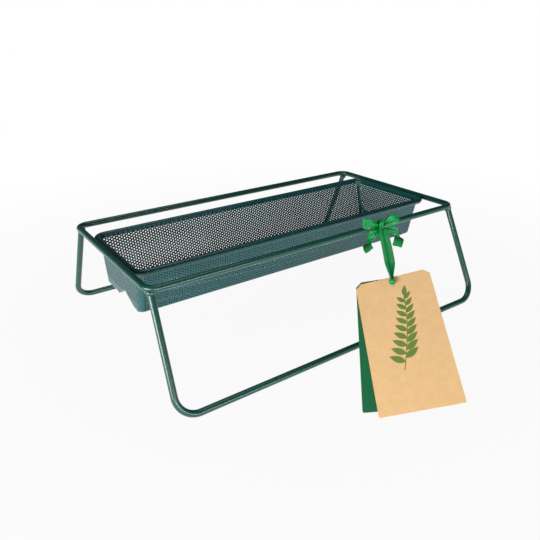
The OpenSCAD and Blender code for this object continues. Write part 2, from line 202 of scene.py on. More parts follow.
def new_material(name):
    """A material with an empty node tree."""
    made = bpy.data.materials.new(name)
    made.use_nodes = True
    made.node_tree.nodes.clear()
    return made, made.node_tree


def surface(tree, inputs):
    """Ends a material's tree with a principled shader."""
    shader = add(tree, "ShaderNodeBsdfPrincipled", inputs)
    add(tree, "ShaderNodeOutputMaterial", {"Surface": shader.outputs["BSDF"]})


def bump(tree, texture, strength, depth_mm):
    """Normal of a surface that a texture raises."""
    return add(tree, "ShaderNodeBump", {
        "Height": texture.outputs["Fac"], "Strength": strength, "Distance": depth_mm * MM}).outputs["Normal"]


def spread(tree, value, given, wanted):
    """A value taken from one range to another."""
    return add(tree, "ShaderNodeMapRange", {
        "Value": value, "From Min": given[0], "From Max": given[1],
        "To Min": wanted[0], "To Max": wanted[1]}).outputs["Result"]


def powder_coat(name, colour, roughness, peel_mm):
    """Polyester powder coat on steel: smooth and glossy, with a faint orange peel."""
    made, tree = new_material(name)
    # Distance over which the coat's tone drifts
    drift_mm = 45
    place = add(tree, "ShaderNodeTexCoord").outputs["Object"]
    peel = add(tree, "ShaderNodeTexNoise", {
        "Vector": place, "Scale": 1 / (peel_mm * MM), "Detail": 2.0, "Roughness": 0.5})
    drift = add(tree, "ShaderNodeTexNoise", {
        "Vector": place, "Scale": 1 / (drift_mm * MM), "Detail": 3.0, "Roughness": 0.6})
    tone = add(tree, "ShaderNodeMix", {
        "Factor": drift.outputs["Fac"], "A": shade(colour, 0.86), "B": shade(colour, 1.14)}, data_type="RGBA")
    gloss = spread(tree, peel.outputs["Fac"], (0.3, 0.7), (roughness * 0.85, roughness * 1.2))
    surface(tree, {
        "Base Color": tone.outputs["Result"], "Roughness": gloss, "Normal": bump(tree, peel, 0.06, 0.05),
        "Coat Weight": 0.35, "Coat Roughness": 0.06})
    return made


def satin(name, colour):
    """Woven polyester satin: long floats along the ribbon give a soft bright sheen across it."""
    made, tree = new_material(name)
    cloth = add(tree, "ShaderNodeUVMap", uv_map="cloth").outputs["UV"]
    place = add(tree, "ShaderNodeTexCoord").outputs["Object"]
    # UV is in millimetres along and across; the threads are about twice as coarse as real ones
    thread_mm, fold_mm = 0.22, 6
    # At a scale of 1 the bands lie pi / 10 of a unit apart
    wave_scale = math.pi / (10 * thread_mm)
    threads = add(tree, "ShaderNodeTexWave", {
        "Vector": cloth, "Scale": wave_scale, "Distortion": 0.6,
        "Detail": 1.0, "Detail Scale": 2.0}, bands_direction="Y")
    streaks = add(tree, "ShaderNodeTexNoise", {
        "Vector": cloth, "Scale": 0.35, "Detail": 3.0})
    folds = add(tree, "ShaderNodeTexNoise", {
        "Vector": place, "Scale": 1 / (fold_mm * MM), "Detail": 2.0})
    tone = add(tree, "ShaderNodeMix", {
        "Factor": streaks.outputs["Fac"], "A": shade(colour, 0.75), "B": shade(colour, 1.25)},
        data_type="RGBA")
    gloss = spread(tree, folds.outputs["Fac"], (0.3, 0.7), (0.26, 0.42))
    surface(tree, {
        "Base Color": tone.outputs["Result"], "Roughness": gloss, "Normal": bump(tree, threads, 0.25, 0.03),
        "Anisotropic": 0.6, "Specular IOR Level": 0.4,
        "Sheen Weight": 0.06, "Sheen Roughness": 0.35, "Sheen Tint": shade(colour, 2.5)})
    return made


def painted_shade_satin(name, colour, painted_light_colour):
    """Reverse of single-faced satin, matt; its near-black colour is painted shade, and the green towards the free
    end is painted light.
    """
    made, tree = new_material(name)
    cloth = add(tree, "ShaderNodeUVMap", uv_map="cloth").outputs["UV"]
    # UV is in millimetres along and across, so the stretch of painted light is given in millimetres from the knot
    painted_light_from, painted_light_to = 24.0, 31.0
    along = add(tree, "ShaderNodeSeparateXYZ", {"Vector": cloth}).outputs["X"]
    # Painted light: share of the satin green over the near-black painted shade, rising towards the free end
    through = spread(tree, along, (painted_light_from, painted_light_to), (0.0, 0.85))
    weave = add(tree, "ShaderNodeTexNoise", {"Vector": cloth, "Scale": 2.5, "Detail": 2.0})
    painted_tip_light = add(tree, "ShaderNodeMix", {
        "Factor": through, "A": linear(colour), "B": linear(painted_light_colour)}, data_type="RGBA")
    surface(tree, {
        "Base Color": painted_tip_light.outputs["Result"], "Roughness": 0.7, "Normal": bump(tree, weave, 0.2, 0.03),
        "Specular IOR Level": 0.25})
    return made


def kraft_board(name, colour):
    """Uncoated kraft board: matt, with dark fibres, small specks and a little mottling."""
    made, tree = new_material(name)
    # Sizes of the clouds, the fibres and the cells that hold a speck each
    mottle_mm, fibre_mm, speck_mm = 7, 1.2, 1.6
    place = add(tree, "ShaderNodeTexCoord").outputs["Object"]
    turned = add(tree, "ShaderNodeMapping", {
        "Vector": place, "Rotation": (0.4, 0.3, 0.7), "Scale": (1.0, 3.5, 1.0)})
    mottle = add(tree, "ShaderNodeTexNoise", {
        "Vector": place, "Scale": 1 / (mottle_mm * MM), "Detail": 4.0, "Roughness": 0.65})
    fibres = add(tree, "ShaderNodeTexNoise", {
        "Vector": turned.outputs["Vector"], "Scale": 1 / (fibre_mm * MM), "Detail": 3.0, "Roughness": 0.7,
        "Distortion": 1.2})
    specks = add(tree, "ShaderNodeTexVoronoi", {"Vector": place, "Scale": 1 / (speck_mm * MM)})
    speck = spread(tree, specks.outputs["Distance"], (0.05, 0.22), (1.0, 0.0))
    base = add(tree, "ShaderNodeMix", {
        "Factor": mottle.outputs["Fac"], "A": shade(colour, 0.88), "B": shade(colour, 1.1)},
        data_type="RGBA")
    fibre = spread(tree, fibres.outputs["Fac"], (0.52, 0.72), (0.0, 0.45))
    with_fibre = add(tree, "ShaderNodeMix", {
        "Factor": fibre, "A": base.outputs["Result"], "B": shade(colour, 0.68)}, data_type="RGBA")
    faint = add(tree, "ShaderNodeMath", {0: speck, 1: 0.28}, operation="MULTIPLY")
    with_speck = add(tree, "ShaderNodeMix", {
        "Factor": faint.outputs["Value"], "A": with_fibre.outputs["Result"], "B": shade(colour, 0.5)},
        data_type="RGBA")
    surface(tree, {
        "Base Color": with_speck.outputs["Result"], "Roughness": 0.85,
        "Normal": bump(tree, fibres, 0.3, 0.05), "Specular IOR Level": 0.3})
    return made


def printed_board(name, colour):
    """Solid printing ink on board: nearly even, with a faint fleck and a soft gloss."""
    made, tree = new_material(name)
    # Sizes of the flecks and of the uneven patches
    fleck_mm, cloud_mm = 0.9, 14
    place = add(tree, "ShaderNodeTexCoord").outputs["Object"]
    fleck = add(tree, "ShaderNodeTexNoise", {
        "Vector": place, "Scale": 1 / (fleck_mm * MM), "Detail": 3.0, "Roughness": 0.7})
    cloud = add(tree, "ShaderNodeTexNoise", {
        "Vector": place, "Scale": 1 / (cloud_mm * MM), "Detail": 2.0})
    blend = add(tree, "ShaderNodeMix", {
        "Factor": 0.5, "A": fleck.outputs["Fac"], "B": cloud.outputs["Fac"]}, data_type="FLOAT")
    tone = add(tree, "ShaderNodeMix", {
        "Factor": blend.outputs["Result"], "A": shade(colour, 0.7), "B": shade(colour, 1.3)},
        data_type="RGBA")
    surface(tree, {
        "Base Color": tone.outputs["Result"], "Roughness": 0.55, "Normal": bump(tree, fleck, 0.15, 0.02)})
    return made


def finishes():
    """All finishes by name, made once."""
    paint = paint_settings()
    if not finishes.made:
        finishes.made.update({
            "frame_coating": powder_coat("wire_powder_coat", paint.enamel, 0.3, 1.6),
            "tray_coating": powder_coat("tray_powder_coat", paint.tray, 0.38, 1.3),
            "satin_ribbon": satin("polyester_satin", paint.satin),
            # The reverse gets painted shade, near-black, with painted light in the satin's green towards the free
            # end
            "ribbon_reverse": painted_shade_satin("painted_shade_ribbon_reverse", paint.reverse, paint.satin),
            "kraft_board": kraft_board("kraft_board", paint.kraft),
            "green_board": printed_board("coated_green_board", paint.board),
            "ink": printed_board("leaf_ink", paint.ink),
        })
    return finishes.made


finishes.made = {}


# Meshes

# In a copy of a CAD node's mesh, vertices nearer than the first are joined, and edges below the second go
SAME_PLACE = 0.004 * MM
NO_LENGTH = 0.002 * MM


def new_object(name, mesh, slot, material=None):
    """A finished piece, linked to the scene, with its finish."""
    made = bpy.data.objects.new(name, mesh)
    bpy.context.scene.collection.objects.link(made)
    mesh.materials.clear()
    mesh.materials.append(finishes()[material or slot])
    return made


def mesh_from(work, name):
    """A mesh made from finished bmesh work, which is freed."""
    mesh = bpy.data.meshes.new(name)
    work.to_mesh(mesh)
    work.free()
    return mesh


def smooth(mesh, angle=30):
    """Smooth shading, with edges sharper than the angle kept crisp."""
    mesh.shade_smooth()
    mesh.set_sharp_from_angle(angle=math.radians(angle))


def merged_copy(node):
    """A copy of a CAD node's mesh with its loose triangles joined."""
    mesh = frame["nodes"][node].data.copy()
    work = bmesh.new()
    work.from_mesh(mesh)
    bmesh.ops.remove_doubles(work, verts=work.verts, dist=SAME_PLACE)
    bmesh.ops.dissolve_degenerate(work, edges=work.edges, dist=NO_LENGTH)
    work.to_mesh(mesh)
    work.free()
    return mesh


def baked(obj, name):
    """The evaluated object as a plain mesh."""
    bpy.context.view_layer.update()
    graph = bpy.context.evaluated_depsgraph_get()
    mesh = bpy.data.meshes.new_from_object(obj.evaluated_get(graph))
    mesh.name = name
    return mesh


# Perforated tray

# Distance between two columns of a staggered pattern of holes, as a share of the pitch
COLUMN_SHARE = math.sqrt(3) / 2
# Sides of a round hole
HOLE_SIDES = 8
# A perforated sheet has at least so many faces more than the plain one
FEWEST_NEW_FACES = 1000
# Plain strip between the hem and the first row of holes
HEM_MARGIN = 0.2 * MM


def column_step():
    """Distance between two columns of holes."""
    return tray_settings().pitch * COLUMN_SHARE


def hole_field_group():
    """Node group: a staggered field of hole cutters on a flat stretch of sheet.

    It is made round the origin, then turned and placed. The field is twice the half width wide in its
    middle, and gets wider along X by the widening on each side.
    """
    group = bpy.data.node_groups.new("hole_field", "GeometryNodeTree")
    face = group.interface
    sockets = {"Int": ("First", "Columns", "Rows"),
               "Float": ("Pitch", "Hole", "Depth", "Half Width", "Widening"),
               "Vector": ("Place", "Turn")}
    for kind, names in sockets.items():
        for name in names:
            face.new_socket(name, in_out="INPUT", socket_type="NodeSocket" + kind)
    face.new_socket("Cutters", in_out="OUTPUT", socket_type="NodeSocketGeometry")
    given = add(group, "NodeGroupInput").outputs

    def maths(operation, *values):
        return add(group, "ShaderNodeMath", dict(enumerate(values)), operation=operation).outputs[0]

    step = maths("MULTIPLY", given["Pitch"], COLUMN_SHARE)
    grid = add(group, "GeometryNodeMeshGrid", {
        "Size X": maths("MULTIPLY", maths("SUBTRACT", given["Columns"], 1.0), step),
        "Size Y": maths("MULTIPLY", maths("SUBTRACT", given["Rows"], 1.0), given["Pitch"]),
        "Vertices X": given["Columns"], "Vertices Y": given["Rows"]})
    # Neighbouring columns are shifted a quarter of a pitch up and down in turn
    index = add(group, "GeometryNodeInputIndex").outputs[0]
    column = maths("FLOOR", maths("DIVIDE", maths("ADD", index, 0.5), given["Rows"]))
    odd = maths("FLOORED_MODULO", maths("ADD", column, given["First"]), 2.0)
    shift = maths("MULTIPLY", maths("SUBTRACT", odd, 0.5), maths("MULTIPLY", given["Pitch"], 0.5))
    offset = add(group, "ShaderNodeCombineXYZ", {"Y": shift})
    staggered = add(group, "GeometryNodeSetPosition", {
        "Geometry": grid.outputs["Mesh"], "Offset": offset.outputs[0]})
    position = add(group, "GeometryNodeInputPosition")
    at = add(group, "ShaderNodeSeparateXYZ", {"Vector": position.outputs[0]}).outputs
    allowed = maths("MULTIPLY_ADD", at["X"], given["Widening"], given["Half Width"])
    outside = maths("GREATER_THAN", maths("ABSOLUTE", at["Y"]), allowed)
    kept = add(group, "GeometryNodeDeleteGeometry", {
        "Geometry": staggered.outputs["Geometry"], "Selection": outside}, domain="POINT")
    cutter = add(group, "GeometryNodeMeshCylinder", {
        "Vertices": HOLE_SIDES, "Radius": maths("MULTIPLY", given["Hole"], 0.5), "Depth": given["Depth"]})
    cutters = add(group, "GeometryNodeInstanceOnPoints", {
        "Points": kept.outputs["Geometry"], "Instance": cutter.outputs["Mesh"]})
    real = add(group, "GeometryNodeRealizeInstances", {"Geometry": cutters.outputs["Instances"]})
    placed = add(group, "GeometryNodeTransform", {
        "Geometry": real.outputs["Geometry"], "Translation": given["Place"], "Rotation": given["Turn"]})
    add(group, "NodeGroupOutput", {"Cutters": placed.outputs["Geometry"]})
    return group


def perforated_tree(name, fields, material):
    """Tree that cuts every hole field out of the sheet, with the hole's sizes as named inputs."""
    tray = tray_settings()
    tree = bpy.data.node_groups.new(name, "GeometryNodeTree")
    face = tree.interface
    face.new_socket("Sheet", in_out="INPUT", socket_type="NodeSocketGeometry")
    sizes = {"Pitch": tray.pitch, "Hole": tray.hole, "Depth": 3 * tray.sheet}
    for socket, value in sizes.items():
        face.new_socket(socket, in_out="INPUT", socket_type="NodeSocketFloat").default_value = value
    face.new_socket("Perforated", in_out="OUTPUT", socket_type="NodeSocketGeometry")
    given = add(tree, "NodeGroupInput").outputs
    joined = add(tree, "GeometryNodeJoinGeometry")
    group = bpy.data.node_groups.get("hole_field") or hole_field_group()
    for field in fields:
        made = tree.nodes.new("GeometryNodeGroup")
        made.node_tree = group
        for socket in sizes:
            tree.links.new(given[socket], made.inputs[socket])
        for socket, value in field.items():
            made.inputs[socket].default_value = value
        tree.links.new(made.outputs["Cutters"], joined.inputs[0])
    cut = add(tree, "GeometryNodeMeshBoolean", operation="DIFFERENCE", solver="MANIFOLD")
    tree.links.new(given["Sheet"], cut.inputs["Mesh 1"])
    tree.links.new(joined.outputs[0], cut.inputs["Mesh 2"])
    real = add(tree, "GeometryNodeRealizeInstances", {"Geometry": cut.outputs["Mesh"]})
    dressed = add(tree, "GeometryNodeSetMaterial", {
        "Geometry": real.outputs["Geometry"], "Material": material})
    add(tree, "NodeGroupOutput", {"Perforated": dressed.outputs["Geometry"]})
    return tree


def perforate(name, node, sheet, fields, plain=()):
    """A perforated piece, cut from a plain sheet mesh and joined with plain ones, in place of a CAD node."""
    base = bpy.data.objects.new(name + "_base", sheet)
    bpy.context.scene.collection.objects.link(base)
    modifier = base.modifiers.new("holes", "NODES")
    modifier.node_group = perforated_tree(name + "_holes", fields, finishes()["tray_coating"])
    mesh = baked(base, name)
    if len(mesh.polygons) < len(sheet.polygons) + FEWEST_NEW_FACES:
        raise RuntimeError(name + ": the holes weren't cut")
    bpy.data.objects.remove(base)
    work = bmesh.new()
    for part in (mesh, *plain):
        work.from_mesh(part)
    work.to_mesh(mesh)
    work.free()
    smooth(mesh)
    piece = new_object(name, mesh, "tray_coating")
    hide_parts(node)
    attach(piece, "feeder")
    return piece


def cross_section(node, x, start, end):
    """A plain solid with the node's section at x, drawn along X from start to end."""
    work = bmesh.new()
    work.from_mesh(merged_copy(node))
    geometry = list(work.verts) + list(work.edges) + list(work.faces)
    bmesh.ops.bisect_plane(work, geom=geometry, dist=0.0005 * MM, plane_co=(x, 0, 0), plane_no=(1, 0, 0),
                           clear_inner=True, clear_outer=True)
    loose = [v for v in work.verts if not v.link_edges]
    bmesh.ops.delete(work, geom=loose, context="VERTS")
    bmesh.ops.remove_doubles(work, verts=work.verts, dist=SAME_PLACE)
    bmesh.ops.triangle_fill(work, use_beauty=True, edges=list(work.edges))
    for vert in work.verts:
        vert.co.x = start
    made = bmesh.ops.extrude_face_region(work, geom=list(work.faces))
    for vert in (v for v in made["geom"] if isinstance(v, bmesh.types.BMVert)):
        vert.co.x = end
    bmesh.ops.recalc_face_normals(work, faces=work.faces)
    if any(not e.is_manifold for e in work.edges):
        raise RuntimeError(node + ": its section isn't closed")
    return mesh_from(work, node + "_section")


def stretch(start, end, spare_start, spare_end, first, columns):
    """Hole field of a flat stretch of the tray, from start to end as (y, z) at mid-sheet.

    The spare lengths at its two ends stay plain. Columns are counted along the tray from its middle.
    """
    tray = tray_settings()
    no_limit = 1.0
    start, end = Vector(start), Vector(end)
    along = (end - start).normalized()
    top = start + along * (spare_start + tray.hole / 2)
    low = end - along * (spare_end + tray.hole / 2)
    rows = int(((low - top).length - tray.pitch / 2) / tray.pitch) + 1
    centre = (top + low) / 2
    x = (first + columns / 2) * column_step()
    return {"First": first, "Columns": columns, "Rows": rows, "Half Width": no_limit,
            "Place": (x, centre.x, centre.y), "Turn": (math.atan2(along.y, along.x), 0.0, 0.0)}


class FEEDER_OT_tray(bpy.types.Operator):
    """Perforates the tray's channel and its two end panels"""
    bl_idname = "feeder.tray"
    bl_label = "Perforated tray"

    def execute(self, context):
        # Columns of holes on each side of the middle, and those past the seam on each end panel
        columns = int((SEAM_X - tray_settings().hole / 2) / column_step() + 0.5)
        past = 3
        # The channel has its full section just inside the seam, and only the ridge's just past it
        inside, outside = SEAM_X - 1 * MM, SEAM_X + 2 * MM
        end = reach("tray_channel", X)
        for side, word in ((-1, "left"), (1, "right")):
            half = cross_section("tray_channel", inside, 0.0, side * SEAM_X)
            ridge_end = cross_section("tray_channel", outside, side * SEAM_X, side * end)
            perforate("perforated_channel_" + word, "tray_channel", half,
                      self.floor_fields(min(0, side * columns), columns), [ridge_end])
            node = word + "_end_panel"
            first = columns if side > 0 else -columns - past
            perforate(word + "_end_wall_perforated", node, merged_copy(node),
                      self.floor_fields(first, past) + [self.end_field(side)])
        return {"FINISHED"}

    def floor_fields(self, first, columns):
        """Hole fields of the walls and the ridged floor, from back to front, over some columns."""
        tray = tray_settings()
        hem_gap = 0.05 * MM
        hem_mid = RIM_WIRE_R + hem_gap + tray.sheet / 2
        floor_mid = FLOOR_Z + tray.sheet / 2
        top = (RIM_Y - hem_mid * math.cos(tray.lean), RIM_Z + hem_mid * math.sin(tray.lean))
        foot = (top[0] - (top[1] - floor_mid) * math.tan(tray.lean), floor_mid)
        crest = (tray.ridge_y, floor_mid + tray.ridge_rise)
        back = (tray.ridge_y + tray.ridge_back, floor_mid)
        front = (tray.ridge_y - tray.ridge_front, floor_mid)
        # Plain margins at the ridge's bends and at the foot of the walls
        fold, wall_fold = 0.3 * MM, 0.6 * tray.bend
        return [
            stretch(top, foot, HEM_MARGIN, wall_fold, first, columns),
            stretch(foot, back, wall_fold, fold, first, columns),
            stretch(back, crest, fold, fold, first, columns),
            stretch(crest, front, fold, fold, first, columns),
            stretch(front, (-foot[0], foot[1]), fold, wall_fold, first, columns),
            stretch((-foot[0], foot[1]), (-top[0], top[1]), wall_fold, HEM_MARGIN, first, columns),
        ]

    def end_field(self, side):
        """Hole field of an upright end wall, which widens upwards."""
        tray = tray_settings()
        widening = math.tan(tray.lean)
        low = FLOOR_Z + tray.end_margin + tray.hole / 2
        high = RIM_Z - HEM_MARGIN - tray.hole / 2
        columns = int((high - low) / column_step()) + 1
        centre = (low + high) / 2
        # Half the wall's width at the floor; a plain strip stays at its rounded corners
        half_floor = RIM_Y - RIM_WIRE_R - tray.sheet - (RIM_Z - FLOOR_Z) * widening
        corner = 4 * MM
        half = half_floor + (centre - FLOOR_Z) * widening - corner
        end_x = side * (RIM_X - RIM_WIRE_R - tray.sheet / 2)
        return {"First": 0, "Columns": columns, "Rows": int(2 * RIM_Y / tray.pitch), "Half Width": half,
                "Widening": widening, "Place": (end_x, 0.0, centre), "Turn": (0.0, -math.pi / 2, 0.0)}


# Ribbon

def strip_mesh(name, path, across, widths, pleats, closed):
    """Mesh of a strip along path, whose width lies along across, and the strip's length.

    It gathers into pleats where it is narrower than the ribbon.
    """
    full_width = ribbon_settings().width
    count, sides = len(path), 10
    # Starts the pleats off the strip's middle, so that they aren't even
    phase = 0.8
    work = bmesh.new()
    cloth = work.loops.layers.uv.new("cloth")
    rows, run, lengths = [], 0.0, []
    for i in range(count):
        before = path[(i - 1) % count] if closed or i > 0 else path[i]
        after = path[(i + 1) % count] if closed or i < count - 1 else path[i]
        forward = (after - before).normalized()
        side = (across[i] - forward * across[i].dot(forward)).normalized()
        up = side.cross(forward)
        width = widths[i]
        gather = min(1.0, width / full_width)
        # Height of a wave that takes up the width lost in the gather
        wave = width * math.sqrt(2 * (1 / gather ** 2 - 1)) / (2 * math.pi * pleats)
        row = []
        for j in range(sides + 1):
            s = j / sides - 0.5
            lift = wave * math.sin(2 * math.pi * pleats * s + phase)
            row.append(work.verts.new(path[i] + side * (s * width) + up * lift))
        rows.append(row)
        if i:
            run += (path[i] - path[i - 1]).length
        lengths.append(run)
    if closed:
        run += (path[0] - path[-1]).length
    for i in range(count if closed else count - 1):
        k = (i + 1) % count
        for j in range(sides):
            face = work.faces.new((rows[i][j], rows[k][j], rows[k][j + 1], rows[i][j + 1]))
            near, far = lengths[i], lengths[k] if k else run
            corners = ((near, j), (far, j), (far, j + 1), (near, j + 1))
            for loop, (u, v) in zip(face.loops, corners):
                loop[cloth].uv = (u / MM, v / sides * full_width / MM)
    mesh = mesh_from(work, name)
    mesh.shade_smooth()
    return mesh, run


def ribbon(name, node, path, across, widths, pleats=2.5, closed=False, satin_side=0):
    """A piece of ribbon along path, in place of a CAD node.

    The satin side is 1 for the faces' side, -1 for the other one and 0 for both; the other side then takes the
    reverse's painted shade.
    """
    mesh, run = strip_mesh(name, path, across, widths, pleats, closed)
    piece = new_object(name, mesh, "satin_ribbon")
    if satin_side:
        mesh.materials.append(finishes()["ribbon_reverse"])
        if satin_side < 0:
            mesh.materials[0], mesh.materials[1] = mesh.materials[1], mesh.materials[0]
    finish_cloth(piece, bool(satin_side))
    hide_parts(node)
    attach(piece, "ribbon")
    return piece


def finish_cloth(piece, two_sided):
    """Gives a strip its thickness, its reverse side and one level of subdivision."""
    solid = piece.modifiers.new("thickness", "SOLIDIFY")
    solid.thickness = ribbon_settings().thickness
    solid.offset = 0
    solid.material_offset = int(two_sided)
    fine = piece.modifiers.new("fine", "SUBSURF")
    fine.levels = fine.render_levels = 1


def ease(t):
    """Smooth step from 0 to 1."""
    t = max(0.0, min(1.0, t))
    return t * t * (3 - 2 * t)


def on_curve(points, t):
    """Point at share t of a smooth curve through the points."""
    spans = len(points) - 1
    i = min(int(t * spans), spans - 1)
    u = t * spans - i
    a, b, c, d = (Vector(points[max(0, min(spans, k))]) for k in (i - 1, i, i + 1, i + 2))
    square = 2 * a - 5 * b + 4 * c - d
    cube = 3 * b - a - 3 * c + d
    return 0.5 * (2 * b + (c - a) * u + square * u ** 2 + cube * u ** 3)


def bow_way(point):
    """A way given as sideways, back and up in the bow's own turned frame, in millimetres."""
    turn = Matrix.Rotation(-ribbon_settings().turn, 3, "Z")
    return turn @ (Vector(point) * MM)


def bow_place(point):
    """A place given in the same way from the bow's middle."""
    return BOW + bow_way(point)


class FEEDER_OT_bow(bpy.types.Operator):
    """Ties the satin bow on the front rail"""
    bl_idname = "feeder.bow"
    bl_label = "Ribbon bow"

    def execute(self, context):
        self.wrap()
        self.knot()
        for side, word in ((-1, "left"), (1, "right")):
            self.loop(side, word)
            self.tail(side, word)
        self.hanging()
        return {"FINISHED"}

    def wrap(self):
        """The turn of ribbon round the rail."""
        radius = reach("rail_wrap", Z) - ribbon_settings().thickness
        full, pinch, pinch_start = 9.4 * MM, 1.2 * MM, 0.6
        steps = 32
        path, widths = [], []
        for i in range(steps):
            a = 2 * math.pi * i / steps
            path.append(WRAP + Vector((0, math.cos(a), math.sin(a))) * radius)
            widths.append(full - pinch * ease(abs(math.sin(a / 2 + pinch_start))))
        ribbon("ribbon_rail_turn", "rail_wrap", path, [Vector((1, 0, 0))] * steps, widths,
               closed=True)

    def knot(self):
        """The knot: a short band drawn tight round the middle of the bow."""
        # Middle and half size of the band's round, and the way that its width lies
        centre, half = Vector((-1.2, -0.4, 2.3)), Vector((0.2, 3.2, 5.0))
        across = bow_way((1, 0, 0.12))
        full, wider_back, narrower_top = 5.6 * MM, 0.8 * MM, 1.4 * MM
        steps = 28
        path, widths = [], []
        for i in range(steps):
            a = 2 * math.pi * i / steps
            path.append(bow_place(centre + half * Vector((math.sin(a), math.cos(a), math.sin(a)))))
            widths.append(full + wider_back * math.cos(a) - narrower_top * ease(math.sin(a)))
        ribbon("ribbon_knot", "bow_knot", path, [across] * steps, widths, closed=True)

    def loop(self, side, word):
        """One loop of the bow, gathered at the knot."""
        settings = ribbon_settings()
        # How the ribbon's width lies at the knot, then each loop's far end and how the width lies there
        at_knot = (0.0, 0.41, 0.91)
        far, far_up = {"left": ((-20.5, -7.0, 6.1), at_knot),
                       "right": ((16.2, 3.0, 8.3), (-0.62, 0.34, 0.71))}[word]
        out = bow_way(far)
        length = out.length
        out.normalize()
        up_near = bow_way(at_knot).normalized()
        up_far = bow_way(far_up).normalized()
        near, half = 1.6 * MM, settings.depth / 2 - 0.4 * MM
        # Powers below 1 make the far end blunt and the loop full; the ribbon rolls a little round each side
        blunt, fullness, roll = 0.82, 0.35, 0.12
        narrow, open_at = 0.36, 0.62
        steps = 48
        path, across, widths = [], [], []
        for i in range(steps):
            t = i / (steps - 1)
            a = math.pi * (2 * t - 1)
            # A drop: the ribbon leaves the knot in front, rounds the far end and comes back behind
            share = (0.5 + 0.5 * math.cos(a)) ** blunt
            depth = half * math.sin(a) * (0.5 + 0.5 * math.cos(a)) ** fullness
            up = up_near.lerp(up_far, ease(share)).normalized()
            back = (out.cross(up) * -side).normalized()
            path.append(BOW + out * (near + (length - near) * share) + back * depth)
            across.append(up + back * roll * math.sin(a))
            widths.append(settings.width * (narrow + (1 - narrow) * ease(share / open_at)))
        # The side of the loop that isn't satin takes the reverse's painted shade
        ribbon("ribbon_loop_" + word, "bow_loop_" + word, path, across, widths, pleats=1.5,
               satin_side=side)

    def tail(self, side, word):
        """One tail: it leaves the knot sideways, rounds a curl and shows its back down to the cut end."""
        points = {
            "left": ((-1, 0, -4), (-7.9, -1.5, -7.5), (-12.4, 2.5, -16), (-11, 6, -23.5), (-7.9, 7.5, -29)),
            "right": ((2, 0, -3.5), (12, -1.5, -4.2), (18.6, 2, -11), (20, 4.5, -18), (19.2, 6, -24.5)),
        }[word]
        twist, twist_from, twist_run = math.radians(172), 0.2, 0.45
        narrow, full, full_at = 0.4, 0.97, 0.32
        steps = 30
        path, across, widths = [], [], []
        for i in range(steps):
            t = i / (steps - 1)
            path.append(bow_place(on_curve(points, t)))
            a = twist * ease((t - twist_from) / twist_run)
            across.append(bow_way((-side * math.cos(a), -math.sin(a), -1.0)))
            widths.append(ribbon_settings().width * (narrow + (full - narrow) * ease(t / full_at)))
        # The tail's back takes the reverse's painted shade, with painted light near the cut end
        ribbon("ribbon_tail_" + word, "bow_tail_" + word, path, across, widths, pleats=1.5,
               satin_side=-side)

    def hanging(self):
        """The ribbon from the knot down to the cards."""
        top = bow_place((0.3, -2.7, -1.8))
        hole, _, _, out = card_axes()
        # It ends inside the front knot of the tie
        tie_height = 2.6 * MM
        bottom = hole + out * tie_height
        # Greatest sag below a straight line, the bulge to the right that goes with it, and the twist
        most_sag, bulge, twist = 1.6 * MM, 1.3, math.radians(8)
        # Shares of the full width at the knot, below it and at the hole
        at_knot, opened, at_hole = 0.8, 0.98, 0.28
        opened_at, narrows_from, narrows_run = 0.15, 0.6, 0.38
        steps = 34
        path, across, widths = [], [], []
        for i in range(steps):
            t = i / (steps - 1)
            sag = most_sag * (1 - (2 * t - 1) ** 2)
            path.append(top.lerp(bottom, t) + Vector((bulge * sag, 0, -sag)))
            a = -ribbon_settings().turn - twist * t
            across.append(Vector((math.cos(a), math.sin(a), 0)))
            opening = (opened - at_knot) * ease(t / opened_at)
            narrowing = (opened - at_hole) * ease((t - narrows_from) / narrows_run)
            widths.append(ribbon_settings().width * (at_knot + opening - narrowing))
        ribbon("ribbon_to_cards", "hanging_ribbon", path, across, widths, pleats=1.5)


# Cards

def card_axes():
    """Hole's place, and the front card's directions across, up and out, from its joint and its corners."""
    joint = next(j for j in frame["joints"] if j["name"] == "front_card_turn")
    hole = Vector(joint["pos_m"])
    out = Vector(joint["axis"]).normalized()
    corners = frame["nodes"]["kraft_card"].data.vertices
    centre = sum((v.co for v in corners), Vector()) / len(corners)
    up = hole - centre
    up = (up - out * up.dot(out)).normalized()
    return hole, up.cross(out), up, out


